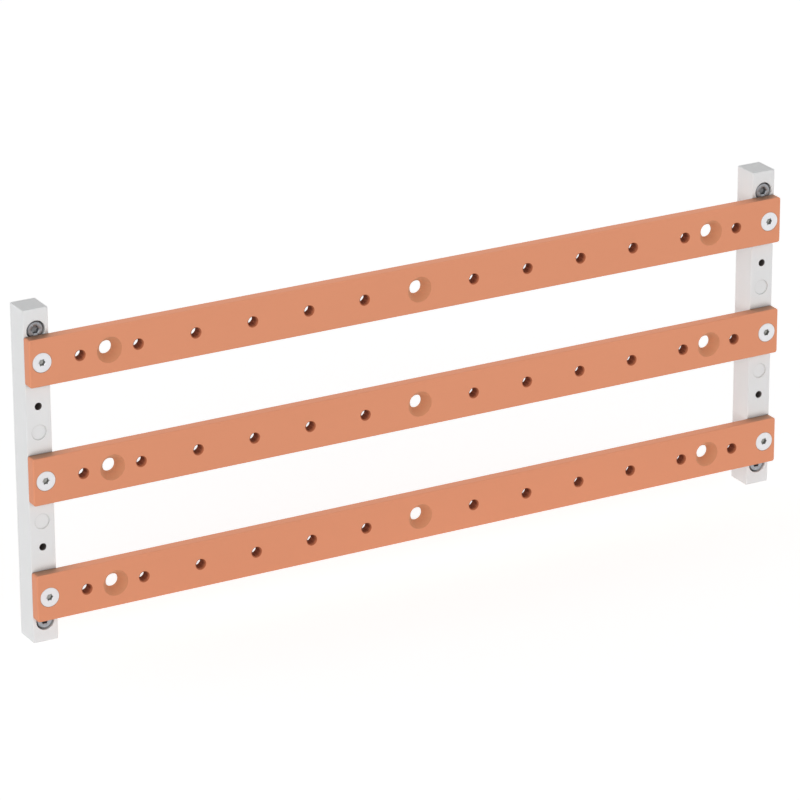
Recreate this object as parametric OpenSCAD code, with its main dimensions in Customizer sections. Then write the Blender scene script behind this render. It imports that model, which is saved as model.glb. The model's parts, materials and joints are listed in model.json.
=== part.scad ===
// Three-pole copper busbar set: three flat bars screwed across two moulded supports.
// X runs along the bars, Z is up and the front looks towards -Y. The origin is the middle of
// the four mounting screws, on the panel plane that the backs of the supports rest on.

/* [Busbars] */
// Length of each bar
bar_length = 350; // [300:1:450]
// Height of each bar, seen from the front
bar_height = 20; // [16:0.5:28]
// Thickness of each bar
bar_thickness = 5; // [4:0.5:8]
// Distance between the centre lines of neighbouring bars
bar_pitch = 50; // [44:1:70]
// Rounding along the four long edges of a bar
bar_edge_r = 0.5; // [0.2:0.1:1]
// Rounding of the four corners of a bar, seen from the front
bar_corner_r = 1; // [0.5:0.25:3]

/* [Bar holes] */
// Distance from one tapped hole to the next
tap_pitch = 25.5; // [20:0.5:34]
// Core diameter of a tapped hole, for an M5 thread
tap_core_d = 4; // [3.3:0.1:4.8]
// Diameter of the chamfer at the front of a tapped hole
tap_mouth_d = 5; // [4.9:0.1:6.4]
// Angle of that chamfer, from side to side
tap_mouth_angle = 120; // [80:5:130]
// Diameter of a countersunk through hole, for an M5 screw
pass_hole_d = 5.8; // [5.3:0.1:7]
// Diameter of its countersink at the front face
pass_sink_d = 11; // [8:0.5:12]
// Angle of that countersink, from side to side
pass_sink_angle = 75; // [70:1:100]
// Bare bar left between the last tapped hole and the head of the bar screw
tap_end_margin = 6; // [4:0.5:12]

/* [Supports] */
// Width of a support, seen from the front
support_w = 11; // [10.5:0.5:18]
// Depth of a support, from the panel to the back of the bars
support_d = 12; // [11:0.5:24]
// Length of support that stands past the outer edge of the outer bars
support_end = 11; // [9:0.5:25]
// Rounding of a support's edges
support_edge_r = 0.5; // [0.3:0.1:1.5]
// Diameter of the pilot holes between the bars
pilot_d = 3.1; // [2:0.1:4]
// Depth of the pilot holes
pilot_depth = 9; // [4:0.5:10]
// How far a pilot hole lies from the middle of its gap, away from the middle bar
pilot_offset = 5; // [3:0.5:6]
// Diameter of the shallow round moulding marks
mark_d = 6.5; // [4:0.5:8]
// Depth of the moulding marks
mark_depth = 0.6; // [0.1:0.05:1]
// How far a moulding mark lies from the middle of its gap, towards the middle bar
mark_offset = 6; // [4:0.5:7]

/* [Bar screws and inserts] */
// Thread diameter of the bar screws
bar_screw_d = 4; // [3:0.5:5]
// Diameter of their countersunk heads
bar_head_d = 8.2; // [7.5:0.1:9.5]
// Straight rim of the head, and the gap around it in its countersink
bar_head_rim = 0.2; // [0.1:0.05:0.4]
// Width across the flats of the hexagon socket
bar_socket_w = 2.5; // [2:0.5:3.5]
// Depth of the hexagon socket
bar_socket_depth = 1.8; // [1:0.1:2.2]
// Gap around the screw's shank where it passes through a bar
bar_screw_play = 0.25; // [0.1:0.05:0.5]
// Outer diameter of a threaded insert
insert_d = 6; // [5.5:0.1:8]
// Length of a threaded insert
insert_length = 9; // [6:0.5:9.5]
// Width of the groove that keys the insert into its support
insert_groove_w = 1.6; // [0.8:0.2:3]
// Depth of that groove
insert_groove_depth = 0.4; // [0.2:0.1:0.5]
// Gap between the screw's thread and the insert's bore
thread_play = 0.05; // [0.02:0.01:0.1]
// Bore left empty between the end of a bar screw and the floor behind the insert
screw_end_gap = 1; // [0.5:0.25:3]

/* [Mounting screws] */
// Thread diameter of the mounting screws
mount_screw_d = 4; // [3:0.5:5]
// Diameter of their plain shank, between the head and the thread
mount_shank_d = 3.5; // [2.5:0.1:4]
// Diameter of their cylinder heads
mount_head_d = 7; // [5.5:0.1:7.5]
// Height of the heads
mount_head_h = 4; // [2.5:0.1:5]
// Width across the flats of the hexagon socket
mount_socket_w = 3; // [2:0.5:4]
// Depth of the hexagon socket
mount_socket_depth = 2; // [1:0.1:2.5]
// Gap around the head in its counterbore
mount_head_play = 0.5; // [0.2:0.1:1]
// How far the head lies below the front of its support
mount_head_sink = 0.5; // [0:0.1:1.5]
// Gap around the thread where it passes through the support
mount_screw_play = 0.25; // [0.1:0.05:0.5]
// Distance from the edge of the outer bar to the centre of a mounting screw
mount_offset = 2; // [1:0.5:4]
// Length of thread that stands out behind the support
mount_screw_reach = 4.5; // [2:0.5:20]

/* [Hidden] */
$fn = 64;
copper = [0.851, 0.573, 0.447];
white_plastic = [0.867, 0.867, 0.867];
bright_zinc = [0.894, 0.894, 0.910];
dark_steel = [0.45, 0.46, 0.47];
brass = [0.80, 0.66, 0.36];

// Cuts run this far past the faces that they open
past = 0.2;
// Chamfer at the end of every screw and on the rim of a cap head
screw_chamfer = 0.4;

levels = [-1, 0, 1];
sides = [-1, 1];
support_x = bar_length / 2 - support_w / 2;
outer_edge = bar_pitch + bar_height / 2;
support_h = 2 * (outer_edge + support_end);
mount_z = outer_edge + mount_offset;
bar_front = support_d + bar_thickness;
gap_middle = bar_pitch / 2;

tap_room = support_x - bar_head_d / 2 - tap_end_margin - tap_mouth_d / 2;
taps_per_side = floor(tap_room / tap_pitch);
pass_x = (taps_per_side - 0.5) * tap_pitch;

bar_screw_engage = insert_length - screw_end_gap;
counterbore_depth = mount_head_h + mount_head_sink;
mount_grip = support_d - counterbore_depth;

// Turns a piece drawn on the panel plane, with its own z towards the viewer, to face -Y
module facing_front() {
    rotate([90, 0, 0]) children();
}

module rounded_rectangle(w, h, r) {
    square([w - 2 * r, h], center = true);
    square([w, h - 2 * r], center = true);
    for (x = sides, y = sides)
        translate([x * (w / 2 - r), y * (h / 2 - r)]) circle(r);
}

// Prism of a rounded section along x: w across y, d across z from 0
module rounded_along_x(length, w, d, r) {
    translate([-length / 2, 0, d / 2])
        rotate([90, 0, 90])
            linear_extrude(length) rounded_rectangle(w, d, r);
}

// The same along y: w across x, d across z from 0
module rounded_along_y(length, w, d, r) {
    translate([0, length / 2, d / 2])
        rotate([90, 0, 0])
            linear_extrude(length) rounded_rectangle(w, d, r);
}

// Cone that opens at z = 0 to diameter d, down to diameter d_end
module sink(d, d_end, angle) {
    slope = tan(angle / 2);
    depth = (d - d_end) / 2 / slope;
    translate([0, 0, -depth])
        cylinder(h = depth + past, d1 = d_end, d2 = d + 2 * past * slope);
}

// Hole of diameter d from z = 0 down through the given depth
module drill(d, depth) {
    translate([0, 0, -depth - past]) cylinder(h = depth + 2 * past, d = d);
}

// Hole of diameter d through a bar, opened at its front to sink_d
module countersunk_hole(d, sink_d, angle = 90) {
    drill(d, bar_thickness);
    sink(sink_d, d, angle);
}

module bar_blank() {
    intersection() {
        linear_extrude(bar_thickness) rounded_rectangle(bar_length, bar_height, bar_corner_r);
        rounded_along_x(bar_length, bar_height, bar_thickness, bar_edge_r);
    }
}

// One copper bar, with all its holes, at its level on the supports
module busbar(level) {
    color(copper) facing_front() translate([0, level * bar_pitch, 0]) difference() {
        translate([0, 0, support_d]) bar_blank();
        for (side = sides, i = [1 : taps_per_side])
            translate([side * i * tap_pitch, 0, bar_front])
                countersunk_hole(tap_core_d, tap_mouth_d, tap_mouth_angle);
        for (x = [-pass_x, 0, pass_x])
            translate([x, 0, bar_front])
                countersunk_hole(pass_hole_d, pass_sink_d, pass_sink_angle);
        for (side = sides)
            translate([side * support_x, 0, bar_front])
                countersunk_hole(bar_screw_d + 2 * bar_screw_play, bar_head_d + 2 * bar_head_rim);
    }
}

// Outer form of a threaded insert, from its floor at z = 0 to its front face
module insert_form() {
    difference() {
        cylinder(h = insert_length, d = insert_d);
        translate([0, 0, (insert_length - insert_groove_w) / 2]) difference() {
            cylinder(h = insert_groove_w, d = insert_d + past);
            translate([0, 0, -past])
                cylinder(h = insert_groove_w + 2 * past, d = insert_d - 2 * insert_groove_depth);
        }
    }
}

module support_blank() {
    intersection() {
        linear_extrude(support_d) rounded_rectangle(support_w, support_h, support_edge_r);
        rounded_along_x(support_w, support_h, support_d, support_edge_r);
        rounded_along_y(support_h, support_w, support_d, support_edge_r);
    }
}

module mounting_hole() {
    drill(mount_screw_d + 2 * mount_screw_play, support_d);
    translate([0, 0, -counterbore_depth])
        cylinder(h = counterbore_depth + past, d = mount_head_d + 2 * mount_head_play);
}

// One moulded support: the same piece on both sides
module support(side) {
    color(white_plastic) facing_front() translate([side * support_x, 0, 0]) difference() {
        support_blank();
        for (level = levels)
            translate([0, level * bar_pitch, support_d - insert_length]) insert_form();
        for (end = sides) {
            translate([0, end * mount_z, support_d]) mounting_hole();
            translate([0, end * (gap_middle + pilot_offset), support_d - pilot_depth])
                cylinder(h = pilot_depth + past, d = pilot_d);
            translate([0, end * (gap_middle - mark_offset), support_d - mark_depth])
                cylinder(h = mark_depth + past, d = mark_d);
        }
    }
}

// Hexagon socket that opens at z = 0
module hex_socket(w, depth) {
    translate([0, 0, -depth]) cylinder(h = depth + past, d = w / cos(30), $fn = 6);
}

// Shank from z = 0 down, with a chamfered end
module shank(d, length) {
    translate([0, 0, -length + screw_chamfer]) cylinder(h = length - screw_chamfer, d = d);
    translate([0, 0, -length])
        cylinder(h = screw_chamfer, d1 = d - 2 * screw_chamfer, d2 = d);
}

// Countersunk screw with the top of its head at z = 0
module bar_screw() {
    cone_h = (bar_head_d - bar_screw_d) / 2;
    difference() {
        union() {
            translate([0, 0, -bar_head_rim]) cylinder(h = bar_head_rim, d = bar_head_d);
            translate([0, 0, -bar_head_rim - cone_h])
                cylinder(h = cone_h, d1 = bar_screw_d, d2 = bar_head_d);
            translate([0, 0, -bar_head_rim - cone_h])
                shank(bar_screw_d, bar_thickness + bar_screw_engage - bar_head_rim - cone_h);
        }
        hex_socket(bar_socket_w, bar_socket_depth);
    }
}

// Cap screw with the seat of its head at z = 0
module mounting_screw() {
    difference() {
        union() {
            cylinder(h = mount_head_h - screw_chamfer, d = mount_head_d);
            translate([0, 0, mount_head_h - screw_chamfer])
                cylinder(h = screw_chamfer, d1 = mount_head_d, d2 = mount_head_d - 2 * screw_chamfer);
            translate([0, 0, -mount_grip]) cylinder(h = mount_grip, d = mount_shank_d);
            translate([0, 0, -mount_grip]) shank(mount_screw_d, mount_screw_reach);
        }
        translate([0, 0, mount_head_h]) hex_socket(mount_socket_w, mount_socket_depth);
    }
}

module bar_screws() {
    color(bright_zinc) facing_front()
        for (side = sides, level = levels)
            translate([side * support_x, level * bar_pitch, bar_front]) bar_screw();
}

module threaded_inserts() {
    color(brass) facing_front()
        for (side = sides, level = levels)
            translate([side * support_x, level * bar_pitch, support_d - insert_length])
                difference() {
                    insert_form();
                    translate([0, 0, insert_length])
                        drill(bar_screw_d + 2 * thread_play, insert_length);
                }
}

module mounting_screws() {
    color(dark_steel) facing_front()
        for (side = sides, end = sides)
            translate([side * support_x, end * mount_z, support_d - counterbore_depth])
                mounting_screw();
}

busbar(1);  // busbar_top
busbar(0);  // busbar_middle
busbar(-1);  // busbar_bottom
support(-1);  // support_left
support(1);  // support_right
bar_screws();
threaded_inserts();
mounting_screws();
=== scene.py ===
import json
import math

import bmesh
import bpy
from mathutils import Matrix, Vector
from mathutils.geometry import delaunay_2d_cdt


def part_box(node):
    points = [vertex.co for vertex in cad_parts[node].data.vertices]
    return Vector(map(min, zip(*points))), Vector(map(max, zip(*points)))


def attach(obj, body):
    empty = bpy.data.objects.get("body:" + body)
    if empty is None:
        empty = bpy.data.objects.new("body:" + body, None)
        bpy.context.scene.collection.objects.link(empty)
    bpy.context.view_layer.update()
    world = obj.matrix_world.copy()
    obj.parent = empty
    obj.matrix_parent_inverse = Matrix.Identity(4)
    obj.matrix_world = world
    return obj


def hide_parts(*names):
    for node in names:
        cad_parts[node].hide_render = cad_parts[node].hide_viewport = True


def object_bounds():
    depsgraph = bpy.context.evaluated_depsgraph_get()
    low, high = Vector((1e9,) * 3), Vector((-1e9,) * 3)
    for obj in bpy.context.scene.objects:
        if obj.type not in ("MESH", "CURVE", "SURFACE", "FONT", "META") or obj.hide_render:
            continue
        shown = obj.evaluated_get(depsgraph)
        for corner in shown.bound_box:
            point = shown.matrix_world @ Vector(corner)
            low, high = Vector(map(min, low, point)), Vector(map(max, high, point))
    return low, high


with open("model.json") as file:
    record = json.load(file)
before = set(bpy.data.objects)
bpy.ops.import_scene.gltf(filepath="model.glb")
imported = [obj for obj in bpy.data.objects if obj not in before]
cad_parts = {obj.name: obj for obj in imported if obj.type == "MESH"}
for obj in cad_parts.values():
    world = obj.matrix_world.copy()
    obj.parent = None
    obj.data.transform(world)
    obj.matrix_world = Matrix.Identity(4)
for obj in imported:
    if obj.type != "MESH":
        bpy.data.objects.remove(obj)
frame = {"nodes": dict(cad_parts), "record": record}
cad_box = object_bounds()


# Supports
# Two solid bars of white plastic, each injection moulded in one piece with its screw pockets,
# pilot holes and shallow round marks. They stand on end against the panel, two screws in each.

mm = 0.001
scene = bpy.context.scene
mount_sizes = {mount["name"]: mount["dims"] for mount in frame["record"]["mounts"]}

support_lo, support_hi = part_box("support_left")
support_w = support_hi.x - support_lo.x
support_h = support_hi.z - support_lo.z
support_front = support_lo.y
support_back = support_hi.y
support_x = abs(support_lo.x + support_hi.x) / 2
support_edge_r = 0.45 * mm
support_corner_r = 0.5 * mm

bar_places = ("top", "middle", "bottom")
bar_boxes = {place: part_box("busbar_" + place) for place in bar_places}
bar_z = {place: (lo.z + hi.z) / 2 for place, (lo, hi) in bar_boxes.items()}

mount_z = mount_sizes["panel_studs"]["spacing_y_mm"] * mm / 2
mount_hole_r = 2.25 * mm
counterbore_r = 4.0 * mm
counterbore_depth = 4.5 * mm
counterbore_sides = 48
pilot_z = mount_sizes["cover_pilots"]["spacing_y_mm"] * mm / 2
pilot_r = mount_sizes["cover_pilots"]["hole_r_mm"] * mm
pilot_depth = 9.0 * mm
pilot_sides = 32
mark_z = 19.0 * mm
mark_r = 3.25 * mm
mark_depth = 0.6 * mm
mark_ease = 0.2 * mm
mark_sides = 40
insert_r = 3.0 * mm
insert_length = 9.0 * mm
insert_groove_w = 1.6 * mm
insert_groove_depth = 0.4 * mm
insert_sides = 32
mould_ease = 0.15 * mm
crease_angle = math.radians(40)


def circle(centre, y, radius, sides):
    """Points round an axis along Y. The radius is a number, or a function of the angle."""
    points = []
    for k in range(sides):
        angle = 2 * math.pi * k / sides
        r = radius(angle) if callable(radius) else radius
        points.append((centre[0] + r * math.cos(angle), y, centre[1] + r * math.sin(angle)))
    return points


def rounded_outline(centre, y, width, height, corner_r, steps=6):
    """Points of a rectangle with round corners, in a plane across Y."""
    points = []
    for quarter, (side, end) in enumerate(((1, 1), (-1, 1), (-1, -1), (1, -1))):
        for k in range(steps + 1):
            angle = math.pi / 2 * (quarter + k / steps)
            points.append((centre[0] + side * (width / 2 - corner_r) + corner_r * math.cos(angle), y,
                           centre[1] + end * (height / 2 - corner_r) + corner_r * math.sin(angle)))
    return points


def skin(bm, loops):
    """Faces through a row of loops with the same number of points. Returns the rings of points."""
    rings = [[bm.verts.new(point) for point in loop] for loop in loops]
    for near, far in zip(rings, rings[1:]):
        for k in range(len(near)):
            bm.faces.new((near[k - 1], near[k], far[k], far[k - 1]))
    return rings


def round_wall(bm, centre, rows, sides):
    """Wall round an axis along Y, through rows (y, radius). Returns its rings."""
    return skin(bm, [circle(centre, y, radius, sides) for y, radius in rows])


def close_to_point(bm, ring, y):
    """Closes a ring with a cone, or a flat fan, to a point on its axis."""
    middle = sum((vert.co for vert in ring), Vector()) / len(ring)
    tip = bm.verts.new((middle.x, y, middle.z))
    for k in range(len(ring)):
        bm.faces.new((ring[k - 1], ring[k], tip))


def blind_hole(bm, centre, rows, sides):
    """Hole with a flat floor at its last row. Returns the ring of its mouth."""
    rings = round_wall(bm, centre, rows, sides)
    floor_y = rows[-1][0]
    close_to_point(bm, rings[-1], floor_y)
    return rings[0]


def eased_mouth(y, radius, ease, inward, steps=4):
    """Rows (y, radius) that round the mouth of a hole; inward is 1 from the front, -1 from the back."""
    turns = [math.pi / 2 * k / steps for k in range(steps + 1)]
    return [(y + inward * ease * (1 - math.cos(turn)), radius + ease * (1 - math.sin(turn)))
            for turn in turns]


def rounded_block(bm, centre, front, back, width, height, corner_r, edge_r, steps=5):
    """Sides of a block with rounded edges. Returns the rims of its open front and back."""
    turns = [math.pi / 2 * k / steps for k in range(steps + 1)]
    rows = [(front + edge_r * (1 - math.cos(turn)), edge_r * (1 - math.sin(turn))) for turn in turns]
    rows += [(front + back - y, inset) for y, inset in reversed(rows)]
    rings = skin(bm, [rounded_outline(centre, y, width - 2 * inset, height - 2 * inset, corner_r - inset)
                      for y, inset in rows])
    return rings[0], rings[-1]


def fill_face(bm, rim, holes):
    """Flat face inside a convex rim, left open where the rings of holes are."""
    loops = [rim, *holes]
    verts = [vert for loop in loops for vert in loop]
    loop_of = [i for i, loop in enumerate(loops) for _ in loop]
    edges = []
    for loop in loops:
        start = len(edges)
        edges += [(start + k, start + (k + 1) % len(loop)) for k in range(len(loop))]
    flat = [Vector((vert.co.x, vert.co.z)) for vert in verts]
    whole_hull = 0
    merge_distance = 1e-9
    _, _, triangles, sources, _, _ = delaunay_2d_cdt(flat, edges, [], whole_hull, merge_distance)
    for triangle in triangles:
        corners = [sources[k][0] for k in triangle]
        touched = {loop_of[corner] for corner in corners}
        if len(touched) > 1 or 0 in touched:
            bm.faces.new([verts[corner] for corner in corners])


def tag_walls(walls, layer, tag=lambda vert: 1):
    """Tags the cut surface of holes, short of the faces that they open in, with 1 or by a function."""
    for wall in walls:
        for ring in wall[1:-1]:
            for vert in ring:
                vert[layer] = tag(vert)


def add_piece(bm, name, material, cad_node, location=(0, 0, 0)):
    """Adds a piece with crisp flats and soft edges, which stands for a node of the model."""
    bmesh.ops.recalc_face_normals(bm, faces=bm.faces)
    mesh = bpy.data.meshes.new(name)
    bm.to_mesh(mesh)
    bm.free()
    mesh.shade_smooth()
    mesh.set_sharp_from_angle(angle=crease_angle)
    mesh.materials.append(material)
    piece = bpy.data.objects.new(name, mesh)
    piece.location = location
    scene.collection.objects.link(piece)
    flats = piece.modifiers.new("flats_stay_flat", "WEIGHTED_NORMAL")
    flats.keep_sharp = True
    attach(piece, "root")
    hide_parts(cad_node)


def node_maker(tree):
    """Returns a function that adds a shader node with its settings and inputs, and a linker."""
    def node(kind, settings=None, **inputs):
        made = tree.nodes.new("ShaderNode" + kind)
        for key, value in (settings or {}).items():
            setattr(made, key, value)
        for key, value in inputs.items():
            made.inputs[key.replace("_", " ")].default_value = value
        return made

    return node, tree.links.new


def new_finish(name):
    """New material. Returns it with its shader, a maker of nodes and a linker."""
    material = bpy.data.materials.new(name)
    material.use_nodes = True
    tree = material.node_tree
    return material, tree.nodes["Principled BSDF"], *node_maker(tree)


def openness(node, reach, own_only):
    """How open a point is, from 0 to 1, to what lies within reach: its own piece only, or all."""
    return node("AmbientOcclusion", {"samples": 16, "only_local": own_only}, Distance=reach).outputs["AO"]


def spread(node, link, value, low, high):
    """Smooth step from 0 where the value is low to 1 where it is high."""
    step = node("MapRange", {"interpolation_type": "SMOOTHSTEP"}, From_Min=low, From_Max=high)
    link(value, step.inputs["Value"])
    return step.outputs["Result"]


def between(node, link, factor, low, high):
    """Value between low and high, by a factor."""
    ramp = node("MapRange", To_Min=low, To_Max=high)
    link(factor, ramp.inputs["Value"])
    return ramp.outputs["Result"]


def blend_colours(node, link, factor, dark, light):
    """Colour between two, by a factor. Each is a colour, or the socket of another node."""
    mix = node("Mix", {"data_type": "RGBA"})
    link(factor, mix.inputs["Factor"])
    for socket, colour in (("A", dark), ("B", light)):
        target = next(i for i in mix.inputs if i.name == socket and i.type == "RGBA")
        if isinstance(colour, bpy.types.NodeSocket):
            link(colour, target)
        else:
            target.default_value = (*colour, 1)
    return next(o for o in mix.outputs if o.type == "RGBA")


def noise(node, link, scale, detail, stretch=(1, 1, 1)):
    """Noise in the piece's own coordinates, with scale in patches to the metre."""
    mapping = node("Mapping", Scale=stretch)
    pattern = node("TexNoise", Scale=scale, Detail=detail)
    link(node("TexCoord").outputs["Object"], mapping.inputs["Vector"])
    link(mapping.outputs["Vector"], pattern.inputs["Vector"])
    return pattern.outputs["Fac"]


def bump(node, link, shader, height, strength, distance):
    """Fine relief on the surface from a pattern of heights."""
    relief = node("Bump", Strength=strength, Distance=distance)
    link(height, relief.inputs["Height"])
    link(relief.outputs["Normal"], shader.inputs["Normal"])


def moulded_white():
    """White plastic with a fine eroded-mould grain, slightly cloudy, with painted shade in corners and deep
    holes.
    """
    material, shader, node, link = new_finish("moulded_white")
    cloud = noise(node, link, scale=45, detail=4)
    grain = noise(node, link, scale=5200, detail=2)
    plastic = blend_colours(node, link, cloud, (0.82, 0.826, 0.83), (0.87, 0.876, 0.88))
    # Painted shade where other surfaces close a point in: dark in corners, holes and where the bars meet,
    # lighter in the screw pockets.
    in_screw_pocket = node("Attribute", {"attribute_name": "screw_pocket"}).outputs["Fac"]
    shade = blend_colours(node, link, in_screw_pocket, (0.12, 0.1, 0.09), (0.7, 0.7, 0.7))
    open_face = spread(node, link, openness(node, reach=5 * mm, own_only=False), low=0.25, high=0.85)
    link(blend_colours(node, link, open_face, shade, plastic), shader.inputs["Base Color"])
    link(between(node, link, cloud, low=0.42, high=0.55), shader.inputs["Roughness"])
    bump(node, link, shader, grain, strength=0.25, distance=0.03 * mm)
    return material


def moulded_support(cad_node, material):
    """One support, with its counterbored screw holes, pilot holes, marks and pockets for inserts."""
    lo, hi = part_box(cad_node)
    x = (lo.x + hi.x) / 2
    bm = bmesh.new()
    screw_pocket = bm.verts.layers.float.new("screw_pocket")
    front_rim, back_rim = rounded_block(bm, (x, 0), support_front, support_back, support_w, support_h,
                                        support_corner_r, support_edge_r)

    seat = support_front + counterbore_depth
    mount_rows = eased_mouth(support_front, counterbore_r, mould_ease, 1)
    mount_rows += [(seat, counterbore_r), (seat, mount_hole_r)]
    mount_rows += reversed(eased_mouth(support_back, mount_hole_r, mould_ease, -1))
    pilot_rows = eased_mouth(support_front, pilot_r, mould_ease, 1)
    pilot_rows += [(support_front + pilot_depth, pilot_r)]
    mark_rows = eased_mouth(support_front, mark_r, mark_ease, 1)
    mark_rows += reversed(eased_mouth(support_front + mark_depth, mark_r, -mark_ease, 1))
    groove_front = support_front + (insert_length - insert_groove_w) / 2
    groove_back = groove_front + insert_groove_w
    neck_r = insert_r - insert_groove_depth
    insert_rows = [(support_front, insert_r), (groove_front, insert_r), (groove_front, neck_r),
                   (groove_back, neck_r), (groove_back, insert_r), (support_front + insert_length, insert_r)]

    front_holes, back_holes = [], []
    for end in (-1, 1):
        mount_wall = round_wall(bm, (x, end * mount_z), mount_rows, counterbore_sides)
        # The screw pockets get a lighter painted shade.
        tag_walls([mount_wall], screw_pocket)
        front_holes.append(mount_wall[0])
        back_holes.append(mount_wall[-1])
        front_holes.append(blind_hole(bm, (x, end * pilot_z), pilot_rows, pilot_sides))
        front_holes.append(blind_hole(bm, (x, end * mark_z), mark_rows, mark_sides))
    for z in bar_z.values():
        front_holes.append(blind_hole(bm, (x, z), insert_rows, insert_sides))
    fill_face(bm, front_rim, front_holes)
    fill_face(bm, back_rim, back_holes)
    add_piece(bm, "moulded_" + cad_node, material, cad_node=cad_node)


white = moulded_white()
for support in ("support_left", "support_right"):
    moulded_support(support, white)


# Threaded inserts
# Six short brass bushes, turned and tapped, with a groove round the middle. The plastic flows
# into the groove when a support is moulded round them, and the bars hide them for good.

def turned_brass():
    """Yellow brass with fine turning lines round each bush and a little tarnish."""
    material, shader, node, link = new_finish("turned_brass")
    lines = noise(node, link, scale=900, detail=2, stretch=(1, 12, 1))
    tarnish = noise(node, link, scale=160, detail=3)
    brass = blend_colours(node, link, tarnish, (0.55, 0.36, 0.13), (0.68, 0.48, 0.19))
    link(brass, shader.inputs["Base Color"])
    shader.inputs["Metallic"].default_value = 1
    link(between(node, link, lines, low=0.25, high=0.4), shader.inputs["Roughness"])
    bump(node, link, shader, lines, strength=0.2, distance=0.02 * mm)
    return material


inserts = frame["nodes"]["threaded_inserts"]
inserts.data.materials.clear()
inserts.data.materials.append(turned_brass())


# Mounting screws
# Four dark steel cap screws with hexagon sockets, cold headed, knurled and thread rolled. Each
# drops into a counterbore of a support and passes through it into the panel behind.

mount_head_r = 3.5 * mm
mount_head_h = 4.0 * mm
mount_head_ease = 0.4 * mm
mount_seat = support_front + counterbore_depth
mount_head_front = mount_seat - mount_head_h
mount_shank_r = 1.75 * mm
mount_thread_r = mount_sizes["panel_studs"]["stud_r_mm"] * mm
mount_thread_pitch = 0.7 * mm
mount_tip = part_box("mounting_screws")[1].y
mount_socket_w = 3.0 * mm
mount_socket_depth = 2.0 * mm
knurl_depth = 0.12 * mm
knurl_count = 48
mount_sides = 2 * knurl_count
socket_mouth_depth = 0.2 * mm
socket_drill_depth = 0.5 * mm
rows_per_turn = 8

# A share of the hexagon's corner radius, then shares of a thread's pitch
socket_mouth_share = 1.07
thread_inner_flat = 1 / 4
thread_outer_flat = 1 / 8
thread_depth_share = 0.61
tip_chamfer_share = 0.1


def hexagon(width):
    """Radius of a hexagon by angle, from its width across the flats."""
    return lambda angle: width / 2 / math.cos(angle % (math.pi / 3) - math.pi / 6)


def socket_rows(top, width, depth):
    """Rows of a hexagon socket with a countersunk mouth, from its floor up to the face at top."""
    mouth_r = width / 2 / math.cos(math.pi / 6) * socket_mouth_share
    return [(top + depth, hexagon(width)), (top + socket_mouth_depth, hexagon(width)), (top, mouth_r)]


def thread_form(y, angle, pitch):
    """Right-hand thread from its inside, 0, to its outside, 1: two flats with sloping flanks between."""
    phase = (y / pitch + angle / (2 * math.pi)) % 1
    rise = 1 - abs(2 * phase - 1)
    return min(max((rise - thread_inner_flat) / (1 - thread_inner_flat - thread_outer_flat), 0), 1)


def threaded_rows(start, tip, crest_r, pitch):
    """Rows of a screw's thread from start to its chamfered tip."""
    root_r = crest_r - thread_depth_share * pitch
    tip_r = root_r - tip_chamfer_share * pitch
    count = round((tip - start) / pitch * rows_per_turn)

    def row(y):
        chamfer_r = tip_r + (tip - y)
        return (y, lambda angle: min(root_r + (crest_r - root_r) * thread_form(y, angle, pitch), chamfer_r))

    return [row(start + (tip - start) * k / count) for k in range(count + 1)]


def add_screw(name, rows, sides, material, cad_node, location):
    """Adds one screw, from the drilled foot of its socket out over its head and down to its tip."""
    bm = bmesh.new()
    rings = round_wall(bm, (0, 0), rows, sides)
    socket_floor = rows[0][0]
    tip = rows[-1][0]
    close_to_point(bm, rings[0], socket_floor + socket_drill_depth)
    close_to_point(bm, rings[-1], tip)
    add_piece(bm, name, material, cad_node, location)


def blackened_steel():
    """Dark oxide on steel: grey-black, satin, lighter where handling has polished it, with painted shade in
    its socket.
    """
    material, shader, node, link = new_finish("blackened_steel")
    patches = noise(node, link, scale=700, detail=4)
    specks = noise(node, link, scale=4000, detail=2)
    oxide = blend_colours(node, link, patches, (0.27, 0.285, 0.305), (0.45, 0.47, 0.5))
    # Painted shade: darker in the socket and other hollows of the screw itself.
    open_face = spread(node, link, openness(node, reach=2 * mm, own_only=True), low=0.3, high=0.95)
    link(blend_colours(node, link, open_face, (0.21, 0.208, 0.21), oxide), shader.inputs["Base Color"])
    shader.inputs["Metallic"].default_value = 1
    link(between(node, link, patches, low=0.32, high=0.5), shader.inputs["Roughness"])
    bump(node, link, shader, specks, strength=0.2, distance=0.02 * mm)
    return material


def knurled(angle):
    """Radius of the knurled head by angle."""
    return mount_head_r - knurl_depth * (0.5 - 0.5 * math.cos(knurl_count * angle))


dark_steel = blackened_steel()
mount_screw_rows = socket_rows(mount_head_front, mount_socket_w, mount_socket_depth)
mount_screw_rows += [(mount_head_front, mount_head_r - mount_head_ease)]
mount_screw_rows += [(mount_head_front + mount_head_ease, knurled)]
mount_screw_rows += [(mount_seat - mount_head_ease / 2, knurled)]
mount_screw_rows += [(mount_seat, mount_head_r - mount_head_ease), (mount_seat, mount_shank_r)]
mount_screw_rows += [(support_back, mount_shank_r)]
mount_screw_rows += threaded_rows(support_back, mount_tip, mount_thread_r, mount_thread_pitch)
for side, side_name in ((-1, "left"), (1, "right")):
    for end, end_name in ((1, "upper"), (-1, "lower")):
        add_screw(f"mounting_screw_{side_name}_{end_name}", mount_screw_rows, mount_sides, dark_steel,
                  cad_node="mounting_screws",
                  location=(side * support_x, 0, end * mount_z))


# Copper bars
# Three lengths of flat copper, sawn from rolled stock with soft edges, then drilled. Each has
# tapped holes for cable lugs, three countersunk through holes and a screw seat at both ends.

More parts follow.
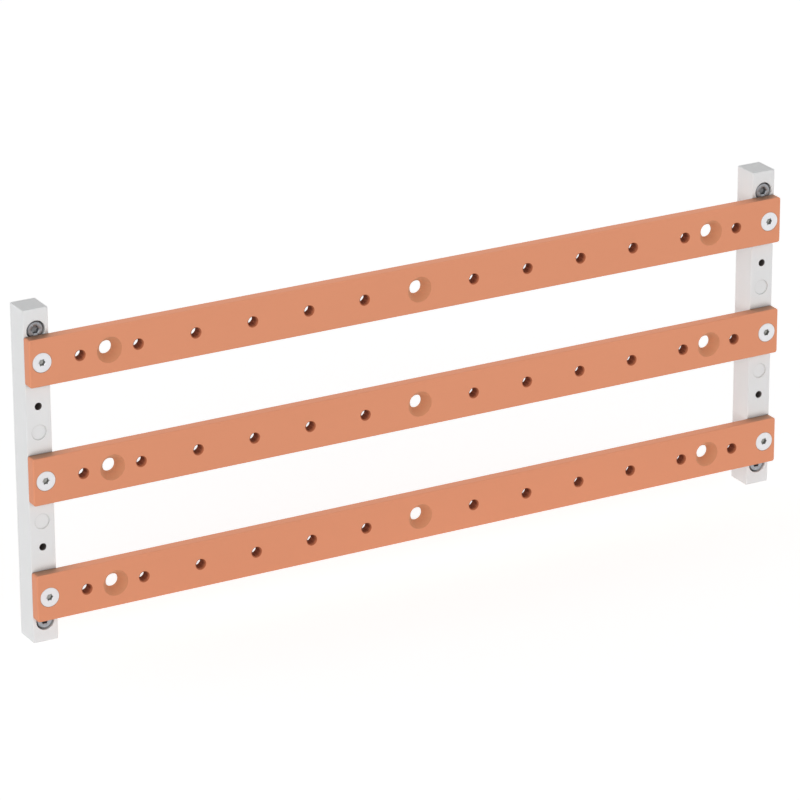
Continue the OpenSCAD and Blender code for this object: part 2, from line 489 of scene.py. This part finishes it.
bar_edge_r = 0.5 * mm
bar_corner_r = 1.0 * mm
tap_root_r = 2.5 * mm
tap_thread_pitch = 0.8 * mm
tap_thread_start = math.radians(84)
tap_mouth_r = 2.5 * mm
tap_mouth_angle = math.radians(120)
tap_sides = 32
pass_sink_r = 5.5 * mm
pass_sink_angle = math.radians(75)
seat_hole_r = 2.25 * mm
seat_sink_r = 4.3 * mm
seat_sink_angle = math.radians(90)
sink_sides = 64
drill_ease = 0.12 * mm
# Reach of the painted contact shade on the bars' tops beside the supports
contact_shade_reach = 16 * mm
cut_extra_roughness = 0.3


def calculate(node, link, operation, *values):
    """Result of an operation on values, each a number or the socket of another node."""
    step = node("Math", {"operation": operation})
    for target, value in zip(step.inputs, values):
        if isinstance(value, bpy.types.NodeSocket):
            link(value, target)
        else:
            target.default_value = value
    return step.outputs[0]


def rolled_copper():
    """Bare copper: rolling grain, saw lines on ends, dull cones, painted shade in taps and by the supports.
    """
    material, shader, node, link = new_finish("rolled_copper")
    facing = node("SeparateXYZ")
    link(node("TexCoord").outputs["Normal"], facing.inputs["Vector"])
    endways = calculate(node, link, "ABSOLUTE", facing.outputs["X"])
    ends = spread(node, link, endways, low=0.8, high=0.95)
    rolled = noise(node, link, scale=60, detail=3, stretch=(1, 45, 45))
    sawn = noise(node, link, scale=1100, detail=2, stretch=(1, 0.1, 1))
    grain = blend_colours(node, link, ends, rolled, sawn)
    cloud = noise(node, link, scale=28, detail=5, stretch=(0.5, 1, 1))
    metal = blend_colours(node, link, cloud, (0.699, 0.303, 0.177), (0.747, 0.336, 0.198))
    streaked = blend_colours(node, link, grain, (0.678, 0.292, 0.169), metal)

    sunk = node("Attribute", {"attribute_name": "countersunk"}).outputs["Fac"]
    dull = blend_colours(node, link, grain, (0.672, 0.366, 0.22), (0.746, 0.419, 0.255))
    drilled = blend_colours(node, link, sunk, streaked, dull)
    # Painted shade in the tapped holes: brown at the mouth, darker with depth.
    tap_depth = node("Attribute", {"attribute_name": "tapped"}).outputs["Fac"]
    in_tap = spread(node, link, tap_depth, low=0, high=0.02)
    deep_in_tap = spread(node, link, tap_depth, low=0.02, high=0.5)
    painted_tap_shade = blend_colours(node, link, deep_in_tap, (0.43, 0.14, 0.07), (0.265, 0.07, 0.036))
    threaded = blend_colours(node, link, in_tap, drilled, painted_tap_shade)

    # Painted contact shade on upward faces, where another piece closes a point in more than the bar itself
    # does.
    free_of_others = calculate(node, link, "DIVIDE", openness(node, contact_shade_reach, own_only=False),
                               openness(node, contact_shade_reach, own_only=True))
    clear = spread(node, link, free_of_others, low=0.62, high=1)
    painted_contact_shade = blend_colours(node, link, clear, (0.4, 0.238, 0.158), threaded)
    upward = spread(node, link, facing.outputs["Z"], low=0, high=0.7)
    link(blend_colours(node, link, upward, threaded, painted_contact_shade), shader.inputs["Base Color"])

    shader.inputs["Metallic"].default_value = 1
    rolled_rough = between(node, link, grain, low=0.5, high=0.62)
    rough = calculate(node, link, "MULTIPLY_ADD", sunk, cut_extra_roughness, rolled_rough)
    link(rough, shader.inputs["Roughness"])
    bump(node, link, shader, grain, strength=0.1, distance=0.02 * mm)
    return material


def pairs_across(names):
    """Places along a bar of the holes that the record gives as pairs, both sides of the middle."""
    halves = [mount_sizes[name]["spacing_x_mm"] * mm / 2 for name in names]
    return [side * half for half in halves for side in (-1, 1)]


def tapped_rows(front, back, core_r):
    """Rows of a tapped hole with a chamfer at its front."""
    count = round((back - front) / tap_thread_pitch * rows_per_turn)

    def row(y):
        chamfer_r = tap_mouth_r - (y - front) * math.tan(tap_mouth_angle / 2)

        def radius(angle):
            thread = thread_form(y, angle + tap_thread_start, tap_thread_pitch)
            return max(chamfer_r, core_r + (tap_root_r - core_r) * thread)

        return (y, radius)

    return [row(front + (back - front) * k / count) for k in range(count + 1)]


def countersunk_rows(front, back, hole_r, sink_r, angle):
    """Rows of a through hole with a countersink at the front."""
    slope = math.tan(angle / 2)
    rows = [(front, sink_r), (front + drill_ease / 2, sink_r - drill_ease / 2 * slope)]
    rows += [(front + (sink_r - hole_r) / slope, hole_r)]
    return rows + list(reversed(eased_mouth(back, hole_r, drill_ease, -1)))


def drilled_bar(place, material):
    """One bar, with its tapped and countersunk holes and a screw seat over each support."""
    cad_node = "busbar_" + place
    lo, hi = bar_boxes[place]
    z = bar_z[place]
    bm = bmesh.new()
    tapped, countersunk = [bm.verts.layers.float.new(name) for name in ("tapped", "countersunk")]
    front_rim, back_rim = rounded_block(bm, (0, z), lo.y, hi.y, hi.x - lo.x, hi.z - lo.z,
                                        bar_corner_r, bar_edge_r)

    taps = sorted(name for name in mount_sizes if name.startswith(place + "_taps"))
    tap_core_r = mount_sizes[taps[0]]["hole_r_mm"] * mm
    tap_rows = tapped_rows(lo.y, hi.y, tap_core_r)
    tap_walls = [round_wall(bm, (x, z), tap_rows, tap_sides) for x in pairs_across(taps)]
    # Depth into each tapped hole, for its painted shade.
    tag_walls(tap_walls, tapped, lambda vert: (vert.co.y - lo.y) / (hi.y - lo.y))

    pass_pair = place + "_pass_holes"
    pass_r = mount_sizes[pass_pair]["hole_r_mm"] * mm
    pass_rows = countersunk_rows(lo.y, hi.y, pass_r, pass_sink_r, pass_sink_angle)
    seat_rows = countersunk_rows(lo.y, hi.y, seat_hole_r, seat_sink_r, seat_sink_angle)
    sinks = [(x, pass_rows) for x in [0, *pairs_across([pass_pair])]]
    sinks += [(side * support_x, seat_rows) for side in (-1, 1)]
    sink_walls = [round_wall(bm, (x, z), rows, sink_sides) for x, rows in sinks]
    tag_walls(sink_walls, countersunk)

    fill_face(bm, front_rim, [wall[0] for wall in tap_walls + sink_walls])
    fill_face(bm, back_rim, [wall[-1] for wall in tap_walls + sink_walls])
    add_piece(bm, "drilled_" + cad_node, material, cad_node=cad_node)


copper = rolled_copper()
for place in bar_places:
    drilled_bar(place, copper)


# Bar screws
# Six countersunk steel screws, bright zinc plated, with hexagon sockets. They sit flush in the
# seats at the ends of the bars and pull each bar tight against the inserts in the supports.

bar_front = bar_boxes["top"][0].y
bar_head_r = 4.1 * mm
bar_head_rim = 0.2 * mm
bar_head_ease = 0.15 * mm
bar_screw_neck = 0.5 * mm
bar_thread_r = 2.0 * mm
bar_thread_pitch = 0.7 * mm
bar_socket_w = 2.5 * mm
bar_socket_depth = 1.8 * mm
bar_screw_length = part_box("bar_screws")[1].y - bar_front
bar_screw_sides = 48


def bright_zinc_plate():
    """Clear zinc on steel: pale, slightly blue, with faint rings left by turning and painted shade in its
    socket.
    """
    material, shader, node, link = new_finish("bright_zinc_plate")
    patches = noise(node, link, scale=420, detail=4)
    turned = {"wave_type": "RINGS", "rings_direction": "Y"}
    rings = node("TexWave", turned, Scale=900, Distortion=1.5, Detail=2)
    link(node("TexCoord").outputs["Object"], rings.inputs["Vector"])
    plate = blend_colours(node, link, patches, (0.72, 0.72, 0.74), (0.82, 0.82, 0.84))
    # Painted shade: darker in the socket and other hollows of the screw itself.
    open_face = spread(node, link, openness(node, reach=2.5 * mm, own_only=True), low=0.3, high=0.9)
    link(blend_colours(node, link, open_face, (0.36, 0.363, 0.345), plate), shader.inputs["Base Color"])
    shader.inputs["Metallic"].default_value = 1
    link(between(node, link, patches, low=0.26, high=0.4), shader.inputs["Roughness"])
    bump(node, link, shader, rings.outputs["Fac"], strength=0.12, distance=0.02 * mm)
    return material


zinc = bright_zinc_plate()
cone_end = bar_head_rim + bar_head_r - bar_thread_r
bar_screw_rows = socket_rows(0, bar_socket_w, bar_socket_depth)
bar_screw_rows += [(0, bar_head_r - bar_head_ease), (bar_head_ease / 2, bar_head_r - bar_head_ease / 4)]
bar_screw_rows += [(bar_head_rim, bar_head_r), (cone_end, bar_thread_r)]
bar_screw_rows += threaded_rows(cone_end + bar_screw_neck, bar_screw_length, bar_thread_r, bar_thread_pitch)
for side, side_name in ((-1, "left"), (1, "right")):
    for place in bar_places:
        add_screw(f"bar_screw_{place}_{side_name}", bar_screw_rows, bar_screw_sides, zinc,
                  cad_node="bar_screws",
                  location=(side * support_x, bar_front, bar_z[place]))


# Floor, light and camera
# A plain white studio floor that keeps the shadow, a white surround that lights from all round
# and less from overhead, and one large soft lamp low at the front left. The lens is long.

floor_size = 12.0
floor_z = cad_box[0].z
floor_colour = 0.7
floor_glow = 0.645
side_light = 2.25
overhead_light = 0.24
# Heights on the surround, from 0 level with the floor to 1 overhead, between which its light fades
side_light_top = 0.1
overhead_light_foot = 0.6
lamp_watts = 8
lamp_size = 1.6
lamp_distance = 2.2
lamp_turn = math.radians(45)
lamp_rise = math.radians(12)
# The camera takes its sensor and lens in millimetres
camera_sensor = 36
camera_lens = 219.73
camera_turn = math.radians(29.016)
camera_tilt = math.radians(21.194)
camera_roll = math.radians(-0.274)
camera_distance = 2000 * mm
camera_aim = Vector((-9.459, -17.0, 3.612)) * mm
camera_reach = 20


def seen_directly(node, link):
    """1 for what the camera, a mirror or clear glass sees, 0 for light on rough surfaces."""
    path = node("LightPath")
    total = path.outputs["Is Camera Ray"]
    for ray in ("Is Glossy Ray", "Is Transmission Ray"):
        total = calculate(node, link, "MAXIMUM", total, path.outputs[ray])
    return total


def studio_floor():
    """Matt pale floor that takes shadows, and glows only where it is seen, so that it looks white."""
    material, shader, node, link = new_finish("studio_floor")
    shader.inputs["Base Color"].default_value = (floor_colour, floor_colour, floor_colour, 1)
    shader.inputs["Roughness"].default_value = 1
    shader.inputs["Specular IOR Level"].default_value = 0
    shader.inputs["Emission Color"].default_value = (1, 1, 1, 1)
    glow = calculate(node, link, "MULTIPLY", seen_directly(node, link), floor_glow)
    link(glow, shader.inputs["Emission Strength"])
    return material


def studio_surround():
    """White where it is seen. Its light is strong from the sides, weak from overhead, none from below."""
    world = bpy.data.worlds.new("studio_surround")
    world.use_nodes = True
    background = world.node_tree.nodes["Background"]
    background.inputs["Color"].default_value = (1, 1, 1, 1)
    node, link = node_maker(world.node_tree)
    way = node("SeparateXYZ")
    link(node("TexCoord").outputs["Generated"], way.inputs["Vector"])
    height = way.outputs["Z"]
    by_height = node("MapRange", {"interpolation_type": "SMOOTHSTEP"}, From_Min=side_light_top,
                     From_Max=overhead_light_foot, To_Min=side_light, To_Max=overhead_light)
    link(height, by_height.inputs["Value"])
    above_floor = calculate(node, link, "GREATER_THAN", height, 0)
    light = calculate(node, link, "MULTIPLY", above_floor, by_height.outputs["Result"])
    strength = node("Mix", B=1)
    link(seen_directly(node, link), strength.inputs["Factor"])
    link(light, strength.inputs["A"])
    link(strength.outputs["Result"], background.inputs["Strength"])
    return world


def from_the_front(turn, rise):
    """Direction from the object, turned to the left of the front and raised above the floor."""
    return Vector((-math.sin(turn) * math.cos(rise), -math.cos(turn) * math.cos(rise), math.sin(rise)))


bm = bmesh.new()
bmesh.ops.create_grid(bm, x_segments=1, y_segments=1, size=floor_size / 2)
floor_mesh = bpy.data.meshes.new("floor")
bm.to_mesh(floor_mesh)
bm.free()
floor_mesh.materials.append(studio_floor())
floor = bpy.data.objects.new("floor", floor_mesh)
floor.location.z = floor_z
# The floor takes shadows and casts none, which keeps the supports' feet bright.
floor.visible_shadow = False
scene.collection.objects.link(floor)

scene.world = studio_surround()

lamp_data = bpy.data.lights.new("soft_lamp", "AREA")
lamp_data.size = lamp_size
lamp_data.energy = lamp_watts
lamp = bpy.data.objects.new("soft_lamp", lamp_data)
lamp_way = from_the_front(lamp_turn, lamp_rise)
lamp.location = lamp_way * lamp_distance
lamp.rotation_euler = lamp_way.to_track_quat("Z", "Y").to_euler()
scene.collection.objects.link(lamp)

camera_data = bpy.data.cameras.new("camera")
camera_data.sensor_width = camera_sensor
camera_data.lens = camera_lens
camera_data.clip_end = camera_reach
camera = bpy.data.objects.new("camera", camera_data)
camera_place = camera_aim + from_the_front(camera_turn, camera_tilt) * camera_distance
camera_turned = (Matrix.Rotation(-camera_turn, 4, "Z") @ Matrix.Rotation(math.pi / 2 - camera_tilt, 4, "X")
                 @ Matrix.Rotation(camera_roll, 4, "Z"))
camera.matrix_world = Matrix.Translation(camera_place) @ camera_turned
scene.collection.objects.link(camera)
scene.camera = camera

scene.view_settings.view_transform = "Standard"
